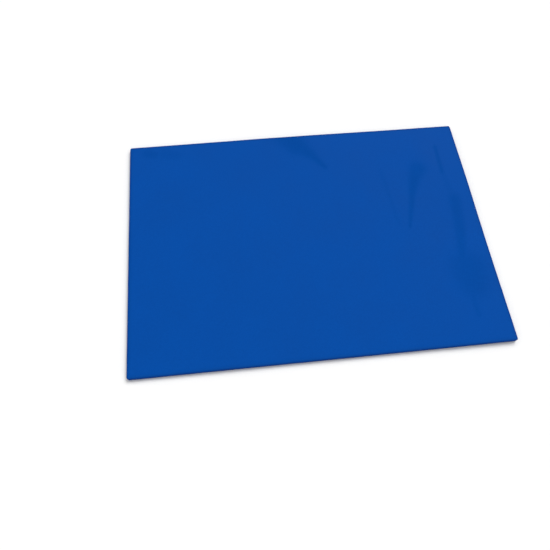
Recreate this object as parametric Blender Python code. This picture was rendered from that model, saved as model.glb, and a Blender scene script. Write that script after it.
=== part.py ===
"""A sheet of craft foam: one flat, springy piece of closed-cell EVA, cut out with a steel-rule die.

Metres, +Z up. The sheet lies flat with its long side along X. The origin is at the
middle of its lower face. The die leaves rounded corners, a rolled-over upper edge,
a crisper lower edge and a cut wall that is slightly hollow, because the foam is
squeezed under the blade and springs back.
"""

import math

import bmesh
import bpy

# Sizes of the cut sheet
SHEET_LENGTH = 0.297
SHEET_WIDTH = 0.210
SHEET_THICKNESS = 0.003
CORNER_RADIUS = 0.0020

# Section of the die-cut edge
UPPER_EDGE_RADIUS = 0.00045
LOWER_EDGE_RADIUS = 0.0002
WALL_HOLLOW = 0.00012

# Fineness of the round stretches
CORNER_STEPS = 10
EDGE_STEPS = 4
WALL_STEPS = 6

# Folds of the surface sharper than this, in degrees, aren't shaded as round
SHARP_ANGLE = 40

# Blue foam skin: linear colour, and a soft satin gloss
FOAM_COLOUR = (0.006, 0.078, 0.371, 1.0)
FOAM_ROUGHNESS = 0.55


def clear_scene():
    """Remove every object that the scene starts with."""
    for old in list(bpy.data.objects):
        bpy.data.objects.remove(old, do_unlink=True)


def foam_material():
    """Satin blue foam."""
    material = bpy.data.materials.new("foam")
    material.use_nodes = True
    shader = material.node_tree.nodes["Principled BSDF"]
    shader.inputs["Base Color"].default_value = FOAM_COLOUR
    shader.inputs["Roughness"].default_value = FOAM_ROUGHNESS
    shader.inputs["Metallic"].default_value = 0.0
    return material


def edge_section():
    """The cut edge from the lower face to the upper one, as pairs of inset and height."""
    wall_height = SHEET_THICKNESS - UPPER_EDGE_RADIUS - LOWER_EDGE_RADIUS
    section = []
    for step in range(EDGE_STEPS):
        turn = math.pi / 2 * step / EDGE_STEPS
        inset = LOWER_EDGE_RADIUS * (1 - math.sin(turn))
        section.append((inset, LOWER_EDGE_RADIUS * (1 - math.cos(turn))))
    for step in range(WALL_STEPS + 1):
        share = step / WALL_STEPS
        section.append((WALL_HOLLOW * math.sin(math.pi * share), LOWER_EDGE_RADIUS + wall_height * share))
    for step in range(1, EDGE_STEPS + 1):
        turn = math.pi / 2 * step / EDGE_STEPS
        height = SHEET_THICKNESS - UPPER_EDGE_RADIUS * (1 - math.sin(turn))
        section.append((UPPER_EDGE_RADIUS * (1 - math.cos(turn)), height))
    return section


def outline(inset):
    """The sheet's outline moved inwards by an inset, as points that run counter-clockwise."""
    centre_x = SHEET_LENGTH / 2 - CORNER_RADIUS
    centre_y = SHEET_WIDTH / 2 - CORNER_RADIUS
    radius = CORNER_RADIUS - inset
    points = []
    for corner, (side_x, side_y) in enumerate(((1, 1), (-1, 1), (-1, -1), (1, -1))):
        for step in range(CORNER_STEPS + 1):
            turn = math.pi / 2 * (corner + step / CORNER_STEPS)
            x = side_x * centre_x + radius * math.cos(turn)
            y = side_y * centre_y + radius * math.sin(turn)
            points.append((x, y))
    return points


def make_foam_sheet():
    """The whole sheet: its section carried round its outline, closed by two flat faces."""
    body = bmesh.new()
    rings = []
    for inset, height in edge_section():
        ring = [body.verts.new((x, y, height)) for x, y in outline(inset)]
        rings.append(ring)
    for lower, upper in zip(rings, rings[1:]):
        for here in range(len(lower)):
            after = (here + 1) % len(lower)
            body.faces.new((lower[here], lower[after], upper[after], upper[here]))
    body.faces.new(list(reversed(rings[0])))
    body.faces.new(rings[-1])

    mesh = bpy.data.meshes.new("foam_sheet")
    body.to_mesh(mesh)
    body.free()
    mesh.shade_smooth()
    mesh.set_sharp_from_angle(angle=math.radians(SHARP_ANGLE))
    sheet = bpy.data.objects.new("foam_sheet", mesh)
    sheet.data.materials.append(foam_material())
    bpy.context.scene.collection.objects.link(sheet)
    return sheet


clear_scene()
make_foam_sheet()
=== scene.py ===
"""Looks of one sheet of craft foam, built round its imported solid. Metres, +Z up.

The solid gives the sheet's place and size. One fine mesh stands for it: the same
outline and die-cut section, with the slight unevenness of soft foam, the places
where it lifts off the floor, and the few shallow marks where it was pressed.
"""

import math

import bpy
from mathutils import Matrix, Vector, noise


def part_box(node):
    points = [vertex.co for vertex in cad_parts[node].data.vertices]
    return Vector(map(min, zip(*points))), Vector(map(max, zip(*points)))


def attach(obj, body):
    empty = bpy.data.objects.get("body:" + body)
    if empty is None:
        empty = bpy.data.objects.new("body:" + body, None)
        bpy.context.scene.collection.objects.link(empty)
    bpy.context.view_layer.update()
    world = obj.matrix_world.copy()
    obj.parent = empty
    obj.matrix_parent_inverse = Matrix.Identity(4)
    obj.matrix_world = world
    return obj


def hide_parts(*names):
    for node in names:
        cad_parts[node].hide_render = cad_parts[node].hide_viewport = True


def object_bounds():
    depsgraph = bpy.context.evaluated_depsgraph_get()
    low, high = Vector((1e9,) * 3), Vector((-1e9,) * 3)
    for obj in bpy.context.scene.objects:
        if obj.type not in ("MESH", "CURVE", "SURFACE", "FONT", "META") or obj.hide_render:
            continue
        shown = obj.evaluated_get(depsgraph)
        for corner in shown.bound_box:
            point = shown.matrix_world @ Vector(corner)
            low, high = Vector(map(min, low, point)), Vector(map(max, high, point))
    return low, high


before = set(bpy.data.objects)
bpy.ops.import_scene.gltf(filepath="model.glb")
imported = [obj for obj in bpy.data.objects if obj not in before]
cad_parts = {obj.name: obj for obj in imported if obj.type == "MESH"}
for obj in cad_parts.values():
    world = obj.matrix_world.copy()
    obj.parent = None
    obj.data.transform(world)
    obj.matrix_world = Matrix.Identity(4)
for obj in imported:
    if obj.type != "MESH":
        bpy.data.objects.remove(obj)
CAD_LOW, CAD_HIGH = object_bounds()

# Section and corners of the die-cut sheet, as in its solid
CORNER_RADIUS = 0.0020
UPPER_EDGE_RADIUS = 0.00045
LOWER_EDGE_RADIUS = 0.0002
WALL_HOLLOW = 0.00012

# Fineness of the mesh
CORNER_STEPS = 8
FACE_STEP = 0.0014
EDGE_STEPS = 5
WALL_STEPS = 6

# Unevenness of the faces: how high their waves are, and how long
SWELL_HEIGHT = 0.00012
SWELL_LENGTH = 0.060
RIPPLE_HEIGHT = 0.00002
RIPPLE_LENGTH = 0.009

# Unevenness of the cut: how deep it wanders, and over what length along the wall and up it
CUT_WANDER = 0.00005
CUT_WANDER_LENGTH = 0.012
CUT_WANDER_RISE = 0.005

# Layers of the noise, far enough apart for patterns of their own
SWELL_LAYER = 3.7
UPPER_LAYER = 8.1
LOWER_LAYER = 21.4
CUT_LAYER = 40.0

# Places where the soft sheet lifts off the floor: place, reach along X and Y, height
LIFTS = (
    ((-0.010, 0.105), 0.080, 0.045, 0.0009),
    ((0.1485, -0.105), 0.050, 0.040, 0.0006),
    ((0.1485, 0.050), 0.035, 0.040, 0.0006),
)

# Marks where the foam was pressed: both ends, half-width at each end, strength
PRESSED_MARKS = (
    ((-0.006, 0.106), (0.002, 0.093), 0.0130, 0.0100, 1.00),
    ((0.002, 0.093), (0.013, 0.083), 0.0090, 0.0055, 0.90),
    ((0.013, 0.083), (0.024, 0.068), 0.0045, 0.0022, 0.85),
    ((0.107, 0.059), (0.102, 0.050), 0.0078, 0.0060, 0.80),
    ((0.102, 0.050), (0.097, 0.036), 0.0055, 0.0036, 0.90),
    ((0.097, 0.036), (0.087, 0.001), 0.0032, 0.0014, 0.80),
    ((0.1285, 0.082), (0.128, 0.053), 0.0016, 0.0018, 0.75),
    ((0.128, 0.053), (0.131, 0.028), 0.0018, 0.0030, 0.20),
    ((0.132, 0.025), (0.129, -0.005), 0.0054, 0.0048, 0.70),
    ((0.129, -0.005), (0.1245, -0.030), 0.0046, 0.0036, 0.75),
    ((0.127, -0.042), (0.127, -0.053), 0.0155, 0.0140, 0.70),
    ((0.1235, -0.066), (0.1235, -0.082), 0.0026, 0.0018, 0.50),
    ((-0.133, 0.097), (-0.127, 0.095), 0.0050, 0.0042, 0.80),
    ((-0.118, 0.095), (-0.108, 0.093), 0.0058, 0.0048, 0.50),
    ((0.073, 0.061), (0.078, 0.005), 0.0018, 0.0018, 0.25),
)

# The marks' fall at their sides, their depth, and how much darker and duller their skin is
PRESSED_STEEPNESS = 3
PRESSED_DEPTH = 0.00012
PRESSED_SHADE = 0.085
PRESSED_ROUGHNESS = 0.24

# Darker band along the rim of each face: partly skin pressed by the blade, partly painted shade where the
# upper edge rolls over
RIM_REACH = 0.0012
RIM_PRESS_AND_SHADE = 0.24

# Foam skin: linear colour, size, detail, shade and depth of its patterns, and satin gloss
FOAM_BLUE = (0.0009, 0.0635, 0.3265)
MOTTLE_SIZE = 0.045
MOTTLE_DETAIL = 4.0
MOTTLE_SHADE = 0.025
GRAIN_SIZE = 0.0011
GRAIN_DETAIL = 2.0
GRAIN_SHADE = 0.04
PEEL_SIZE = 0.0038
PEEL_DETAIL = 3.0
PEEL_DEPTH = 0.000025
CELL_SIZE = 0.0004
CELL_DEPTH = 0.00001
SKIN_ROUGHNESS = (0.64, 0.72)
SKIN_SPECULAR = 0.027
SKIN_SHEEN = 0.02
SHEEN_ROUGHNESS = 0.3
SHEEN_TINT = (0.45, 0.62, 1.0, 1.0)

# Cut edge: linear colour, darker than the skin as painted shade of its opened cells; the cells' painted
# shade, dark in their pits; and the blade's drag lines
CUT_BLUE_IN_CELL_SHADE = (0.0010, 0.0380, 0.2100)
CUT_CELL_SIZE = 0.0003
CUT_CELL_DEPTH = 0.00006
CUT_CELL_PAINTED_SHADE = (0.62, 1.2)
DRAG_WIDTH = 0.0007
DRAG_LENGTH = 0.006
DRAG_DETAIL = 2.0
DRAG_DEPTH = 0.00003
CUT_ROUGHNESS = 0.85
CUT_SPECULAR = 0.06

# Where most values of Blender's noise and of its distances to a cell's middle lie
NOISE_RANGE = (0.3, 0.7)
CELL_RANGE = (0.05, 0.65)

# Camera, from the photograph's own perspective: place above the sheet, degrees, focal length in pixels
CAMERA_PLACE = (-0.0568, -0.1895, 0.3552)
CAMERA_TILT = 24.13
CAMERA_TURN = 9.08
CAMERA_ROLL = -3.22
FOCAL_PIXELS = 484.2
IMAGE_PIXELS = 550.0
SENSOR_WIDTH = 36.0
NEAREST_SEEN = 0.01
FARTHEST_SEEN = 50.0

# Light: one soft source high beyond the far right corner, its width in degrees, and a pale room
KEY_DIRECTION = (0.58, 0.73, 1.0)
KEY_STRENGTH = 2.32
KEY_WIDTH = 40.0
ROOM_WHITE = (1.0, 1.0, 1.0, 1.0)
ROOM_SIDES = 1.0
ROOM_OVERHEAD = 0.08
ROOM_BRIGHT_BELOW = 0.5

# Floor
FLOOR_SIZE = 12.0
FLOOR_WHITE = (0.90, 0.90, 0.90, 1.0)
FLOOR_ROUGHNESS = 0.9
FLOOR_SPECULAR = 0.1


def new_material(name):
    """A new node material, and its Principled shader."""
    material = bpy.data.materials.new(name)
    material.use_nodes = True
    return material, material.node_tree.nodes["Principled BSDF"]


def feed(material, socket, value):
    """Give a socket its value, or join another node's output to it."""
    if isinstance(value, bpy.types.NodeSocket):
        material.node_tree.links.new(value, socket)
    else:
        socket.default_value = value


def add_node(material, kind, **inputs):
    """A new node with its inputs, whose names have an underscore for each space."""
    node = material.node_tree.nodes.new(kind)
    for name, value in inputs.items():
        feed(material, node.inputs[name.replace("_", " ")], value)
    return node


def stored_value(material, name):
    """A number that the mesh holds for each of its points."""
    node = add_node(material, "ShaderNodeAttribute")
    node.attribute_name = name
    return node.outputs["Fac"]


def calculate(material, operation, *values):
    """Result of a calculation with numbers or other nodes' outputs."""
    node = add_node(material, "ShaderNodeMath")
    node.operation = operation
    for socket, value in zip(node.inputs, values):
        feed(material, socket, value)
    return node.outputs["Value"]


def spread(material, value, found, wanted):
    """A value moved from the range it is found in to the range that is wanted, and held inside it."""
    node = add_node(
        material,
        "ShaderNodeMapRange",
        Value=value,
        From_Min=found[0],
        From_Max=found[1],
        To_Min=wanted[0],
        To_Max=wanted[1],
    )
    return node.outputs["Result"]


def shaded(material, colour, share):
    """A colour made lighter or darker by a share."""
    node = add_node(material, "ShaderNodeVectorMath")
    node.operation = "SCALE"
    node.inputs[0].default_value = colour
    feed(material, node.inputs["Scale"], share)
    return node.outputs["Vector"]


def noise_pattern(material, place, size, detail):
    """Cloudy pattern of a size."""
    node = add_node(material, "ShaderNodeTexNoise", Vector=place, Scale=1 / size, Detail=detail)
    return node.outputs["Fac"]


def cell_pattern(material, place, size):
    """Foam cells of a size, as the distance from each cell's middle."""
    return add_node(material, "ShaderNodeTexVoronoi", Vector=place, Scale=1 / size).outputs["Distance"]


def foam_skin_material():
    """Smooth satin skin: faint mottling and grain, darker where the foam was pressed, and darker at the
    rim, partly with painted shade of the rolled-over edge.
    """
    material, shader = new_material("foam_skin")
    place = add_node(material, "ShaderNodeTexCoord").outputs["Object"]
    mottle = noise_pattern(material, place, MOTTLE_SIZE, MOTTLE_DETAIL)
    grain = noise_pattern(material, place, GRAIN_SIZE, GRAIN_DETAIL)
    pressed = stored_value(material, "pressed")
    rim = stored_value(material, "rim")

    shade = spread(material, mottle, NOISE_RANGE, (1 - MOTTLE_SHADE, 1 + MOTTLE_SHADE))
    grain_shade = spread(material, grain, NOISE_RANGE, (1 - GRAIN_SHADE, 1 + GRAIN_SHADE))
    pressed_shade = calculate(material, "MULTIPLY_ADD", pressed, -PRESSED_SHADE, 1.0)
    # Rim darkening: pressed skin in part, and painted shade of the rolled-over upper edge in part
    rim_press_and_shade = calculate(material, "MULTIPLY_ADD", rim, -RIM_PRESS_AND_SHADE, 1.0)
    for share in (grain_shade, pressed_shade, rim_press_and_shade):
        shade = calculate(material, "MULTIPLY", shade, share)
    feed(material, shader.inputs["Base Color"], shaded(material, FOAM_BLUE, shade))

    satin = spread(material, mottle, NOISE_RANGE, SKIN_ROUGHNESS)
    matter = calculate(material, "MULTIPLY_ADD", pressed, PRESSED_ROUGHNESS, satin)
    feed(material, shader.inputs["Roughness"], matter)

    cells = cell_pattern(material, place, CELL_SIZE)
    peel = noise_pattern(material, place, PEEL_SIZE, PEEL_DETAIL)
    bumps = add_node(material, "ShaderNodeBump", Height=cells, Distance=CELL_DEPTH)
    bumps = add_node(
        material, "ShaderNodeBump", Height=peel, Distance=PEEL_DEPTH, Normal=bumps.outputs["Normal"]
    )
    feed(material, shader.inputs["Normal"], bumps.outputs["Normal"])

    shader.inputs["Specular IOR Level"].default_value = SKIN_SPECULAR
    shader.inputs["Sheen Weight"].default_value = SKIN_SHEEN
    shader.inputs["Sheen Roughness"].default_value = SHEEN_ROUGHNESS
    shader.inputs["Sheen Tint"].default_value = SHEEN_TINT
    return material


def foam_cut_material():
    """Matt wall left by the blade: opened cells, with painted shade in their pits and over the whole wall,
    and faint upright drag lines.
    """
    material, shader = new_material("foam_cut_edge")
    place = add_node(material, "ShaderNodeTexCoord").outputs["Object"]
    cells = cell_pattern(material, place, CUT_CELL_SIZE)
    # Painted shade: darker in the middle of each opened cell, lighter towards its walls
    cell_painted_shade = spread(material, cells, CELL_RANGE, CUT_CELL_PAINTED_SHADE)
    feed(material, shader.inputs["Base Color"], shaded(material, CUT_BLUE_IN_CELL_SHADE, cell_painted_shade))

    stretch = (1.0, 1.0, DRAG_WIDTH / DRAG_LENGTH)
    upright = add_node(material, "ShaderNodeMapping", Vector=place, Scale=stretch)
    drag = noise_pattern(material, upright.outputs["Vector"], DRAG_WIDTH, DRAG_DETAIL)
    bumps = add_node(material, "ShaderNodeBump", Height=drag, Distance=DRAG_DEPTH)
    bumps = add_node(
        material, "ShaderNodeBump", Height=cells, Distance=CUT_CELL_DEPTH, Normal=bumps.outputs["Normal"]
    )
    feed(material, shader.inputs["Normal"], bumps.outputs["Normal"])

    shader.inputs["Roughness"].default_value = CUT_ROUGHNESS
    shader.inputs["Specular IOR Level"].default_value = CUT_SPECULAR
    return material


def smooth_noise(x, y, length, layer):
    """Smooth noise from about -1 to 1 that varies over a length."""
    return noise.noise(Vector((x / length, y / length, layer)))


def lift_at(x, y):
    """How far the sheet lies above the floor at a point."""
    lift = 0.0
    for place, reach_x, reach_y, height in LIFTS:
        away = ((x - place[0]) / reach_x) ** 2 + ((y - place[1]) / reach_y) ** 2
        lift += height * math.exp(-away)
    return lift


def pressed_at(x, y):
    """How far the foam is pressed at a point, from 0 to 1."""
    most = 0.0
    for start, end, start_width, end_width, strength in PRESSED_MARKS:
        run_x, run_y = end[0] - start[0], end[1] - start[1]
        share = ((x - start[0]) * run_x + (y - start[1]) * run_y) / (run_x ** 2 + run_y ** 2)
        share = min(1.0, max(0.0, share))
        away = math.hypot(x - start[0] - share * run_x, y - start[1] - share * run_y)
        width = start_width + share * (end_width - start_width)
        most = max(most, strength * math.exp(-((away / width) ** PRESSED_STEEPNESS)))
    return most


def rim_at(x, y, half_x, half_y):
    """How near a point of a face is to its rim, from 0 well inside to 1 at the rim."""
    inset = min(half_x - abs(x), half_y - abs(y)) - UPPER_EDGE_RADIUS
    return math.exp(-((inset / RIM_REACH) ** 2))


def upper_height(x, y, thickness, dent):
    """Height of the upper face, with its lifts, ripples and dents, and swells that add no thickness."""
    swell = SWELL_HEIGHT * (smooth_noise(x, y, SWELL_LENGTH, SWELL_LAYER) - 1)
    ripple = RIPPLE_HEIGHT * smooth_noise(x, y, RIPPLE_LENGTH, UPPER_LAYER)
    return thickness + lift_at(x, y) + swell + ripple - PRESSED_DEPTH * dent


def lower_height(x, y):
    """Height of the lower face, with its lifts, and ripples that keep off the floor."""
    ripple = RIPPLE_HEIGHT * (smooth_noise(x, y, RIPPLE_LENGTH, LOWER_LAYER) + 1)
    return lift_at(x, y) + ripple


def grid_lines(half_side):
    """Places of a face's grid lines along one side: close in the rounded corners, even between them."""
    corner_reach = CORNER_RADIUS - UPPER_EDGE_RADIUS
    inner_half = half_side - CORNER_RADIUS
    corner = [corner_reach * step / CORNER_STEPS for step in range(1, CORNER_STEPS + 1)]
    count = round(2 * inner_half / FACE_STEP)
    middle = [inner_half * (2 * step / count - 1) for step in range(count + 1)]
    first = [-inner_half - step for step in reversed(corner)]
    last = [inner_half + step for step in corner]
    return first + middle + last


def rounded_place(x, y, centre_x, centre_y):
    """A grid point, drawn in where it lies in a corner's square, so that the square turns round."""
    over_x, over_y = abs(x) - centre_x, abs(y) - centre_y
    if over_x <= 0 or over_y <= 0:
        return x, y
    pull = max(over_x, over_y) / math.hypot(over_x, over_y)
    return math.copysign(centre_x + over_x * pull, x), math.copysign(centre_y + over_y * pull, y)


def rim_order(columns, rows):
    """Numbers of a grid's outer points, once round it."""
    near = list(range(columns))
    right = [row * columns + columns - 1 for row in range(1, rows)]
    far = [(rows - 1) * columns + column for column in range(columns - 2, -1, -1)]
    left = [row * columns for row in range(rows - 2, 0, -1)]
    return near + right + far + left


def grid_quads(columns, rows):
    """The squares between a grid's points, facing up."""
    quads = []
    for row in range(rows - 1):
        for column in range(columns - 1):
            here = row * columns + column
            quads.append((here, here + 1, here + 1 + columns, here + columns))
    return quads


def ring_quads(rings):
    """The squares between rings of points, facing out."""
    quads = []
    for above, below in zip(rings, rings[1:]):
        for here in range(len(above)):
            after = (here + 1) % len(above)
            quads.append((above[here], below[here], below[after], above[after]))
    return quads


def edge_section(thickness):
    """The cut edge between the rims of both faces, from the top, as pairs of outward reach and height."""
    section = []
    wall_top = thickness - UPPER_EDGE_RADIUS
    for step in range(1, EDGE_STEPS + 1):
        turn = math.pi / 2 * step / EDGE_STEPS
        section.append((UPPER_EDGE_RADIUS * math.sin(turn), wall_top + UPPER_EDGE_RADIUS * math.cos(turn)))
    for step in range(1, WALL_STEPS):
        share = step / WALL_STEPS
        hollow = WALL_HOLLOW * math.sin(math.pi * share)
        section.append((UPPER_EDGE_RADIUS - hollow, wall_top + (LOWER_EDGE_RADIUS - wall_top) * share))
    for step in range(EDGE_STEPS + 1):
        turn = math.pi / 2 * step / EDGE_STEPS
        reach = UPPER_EDGE_RADIUS - LOWER_EDGE_RADIUS * (1 - math.cos(turn))
        section.append((reach, LOWER_EDGE_RADIUS * (1 - math.sin(turn))))
    return section


def edge_point(top, bottom, reach, share, centre_x, centre_y):
    """A point of the cut edge, a share of the way up and a reach out, less the wander of the cut."""
    point = bottom.lerp(top, share)
    out_x = math.copysign(max(abs(point.x) - centre_x, 0.0), point.x)
    out_y = math.copysign(max(abs(point.y) - centre_y, 0.0), point.y)
    layer = CUT_LAYER + share * (top.z - bottom.z) / CUT_WANDER_RISE
    wander = CUT_WANDER * (smooth_noise(point.x, point.y, CUT_WANDER_LENGTH, layer) - 1)
    return point + Vector((out_x, out_y, 0)).normalized() * (reach + wander)


def sheet_shape(half_x, half_y, thickness):
    """The sheet round its own middle: points, squares of skin and of edge, and values at the points."""
    centre_x, centre_y = half_x - CORNER_RADIUS, half_y - CORNER_RADIUS
    lines_x, lines_y = grid_lines(half_x), grid_lines(half_y)
    grid = [rounded_place(x, y, centre_x, centre_y) for y in lines_y for x in lines_x]
    pressed = [pressed_at(x, y) for x, y in grid]
    near_rim = [rim_at(x, y, half_x, half_y) for x, y in grid]
    upper = [Vector((x, y, upper_height(x, y, thickness, dent))) for (x, y), dent in zip(grid, pressed)]
    lower = [Vector((x, y, lower_height(x, y))) for x, y in grid]

    points = upper + lower
    rim = rim_order(len(lines_x), len(lines_y))
    rings = [rim]
    for reach, height in edge_section(thickness):
        rings.append(range(len(points), len(points) + len(rim)))
        share = height / thickness
        points += [edge_point(upper[here], lower[here], reach, share, centre_x, centre_y) for here in rim]
    rings.append([len(grid) + here for here in rim])

    upper_quads = grid_quads(len(lines_x), len(lines_y))
    lower_quads = [[len(grid) + corner for corner in reversed(quad)] for quad in upper_quads]
    unpressed = [0.0] * (len(points) - len(grid))
    edge_rim = [1.0] * (len(points) - 2 * len(grid))
    stored = {"pressed": pressed + unpressed, "rim": near_rim + near_rim + edge_rim}
    return points, upper_quads + lower_quads, ring_quads(rings), stored


def make_foam_sheet(skin, cut):
    """The fine sheet: two gridded faces joined by the die-cut edge, in the solid's own place."""
    low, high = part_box("foam_sheet")
    middle = Vector(((low.x + high.x) / 2, (low.y + high.y) / 2, low.z))
    half_x, half_y, thickness = high - middle
    points, skin_quads, edge_quads, stored = sheet_shape(half_x, half_y, thickness)

    mesh = bpy.data.meshes.new("foam_sheet_soft")
    mesh.from_pydata([middle + point for point in points], [], skin_quads + edge_quads)
    mesh.materials.append(skin)
    mesh.materials.append(cut)
    cut_slot = mesh.materials.find(cut.name)
    for polygon in mesh.polygons[len(skin_quads):]:
        polygon.material_index = cut_slot
    for name, values in stored.items():
        mesh.attributes.new(name, "FLOAT", "POINT").data.foreach_set("value", values)
    mesh.shade_smooth()
    mesh.update()
    sheet = bpy.data.objects.new("foam_sheet_soft", mesh)
    bpy.context.scene.collection.objects.link(sheet)
    return sheet


def floor_material():
    """Plain matt white."""
    material, shader = new_material("floor_white")
    shader.inputs["Base Color"].default_value = FLOOR_WHITE
    shader.inputs["Roughness"].default_value = FLOOR_ROUGHNESS
    shader.inputs["Specular IOR Level"].default_value = FLOOR_SPECULAR
    return material


def make_floor(height):
    """Plain pale floor under the sheet."""
    half = FLOOR_SIZE / 2
    corners = [(-half, -half, height), (half, -half, height), (half, half, height), (-half, half, height)]
    mesh = bpy.data.meshes.new("floor")
    mesh.from_pydata(corners, [], [(0, 1, 2, 3)])
    mesh.materials.append(floor_material())
    floor = bpy.data.objects.new("floor", mesh)
    bpy.context.scene.collection.objects.link(floor)


def make_camera(sheet_top):
    """Camera above the near side of the sheet, at the photograph's angle."""
    data = bpy.data.cameras.new("camera")
    data.sensor_width = SENSOR_WIDTH
    data.lens = FOCAL_PIXELS / IMAGE_PIXELS * SENSOR_WIDTH
    data.clip_start = NEAREST_SEEN
    data.clip_end = FARTHEST_SEEN
    camera = bpy.data.objects.new("camera", data)
    turn = Matrix.Rotation(math.radians(-CAMERA_TURN), 4, "Z")
    tilt = Matrix.Rotation(math.radians(CAMERA_TILT), 4, "X")
    roll = Matrix.Rotation(math.radians(-CAMERA_ROLL), 4, "Z")
    place = Matrix.Translation(Vector(CAMERA_PLACE) + Vector((0, 0, sheet_top)))
    camera.matrix_world = place @ turn @ tilt @ roll
    bpy.context.scene.collection.objects.link(camera)
    bpy.context.scene.camera = camera


def make_key_light():
    """Soft light from high beyond the sheet's far right corner."""
    data = bpy.data.lights.new("key", "SUN")
    data.energy = KEY_STRENGTH
    data.angle = math.radians(KEY_WIDTH)
    key = bpy.data.objects.new("key", data)
    key.rotation_euler = Vector(KEY_DIRECTION).to_track_quat("Z", "Y").to_euler()
    bpy.context.scene.collection.objects.link(key)


def make_room():
    """Pale room that is bright at its sides and darker overhead."""
    room = bpy.data.worlds.new("room")
    room.use_nodes = True
    nodes, join = room.node_tree.nodes, room.node_tree.links.new
    split = nodes.new("ShaderNodeSeparateXYZ")
    join(nodes.new("ShaderNodeTexCoord").outputs["Generated"], split.inputs["Vector"])
    level = nodes.new("ShaderNodeMapRange")
    level.interpolation_type = "SMOOTHSTEP"
    level.inputs["From Min"].default_value = ROOM_BRIGHT_BELOW
    level.inputs["To Min"].default_value = ROOM_SIDES
    level.inputs["To Max"].default_value = ROOM_OVERHEAD
    join(split.outputs["Z"], level.inputs["Value"])
    nodes["Background"].inputs["Color"].default_value = ROOM_WHITE
    join(level.outputs["Result"], nodes["Background"].inputs["Strength"])
    bpy.context.scene.world = room


bpy.context.scene.view_settings.view_transform = "Standard"
make_camera(CAD_HIGH.z)
make_key_light()
make_room()
make_floor(CAD_LOW.z)

foam_sheet = make_foam_sheet(foam_skin_material(), foam_cut_material())
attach(foam_sheet, "root")
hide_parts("foam_sheet")
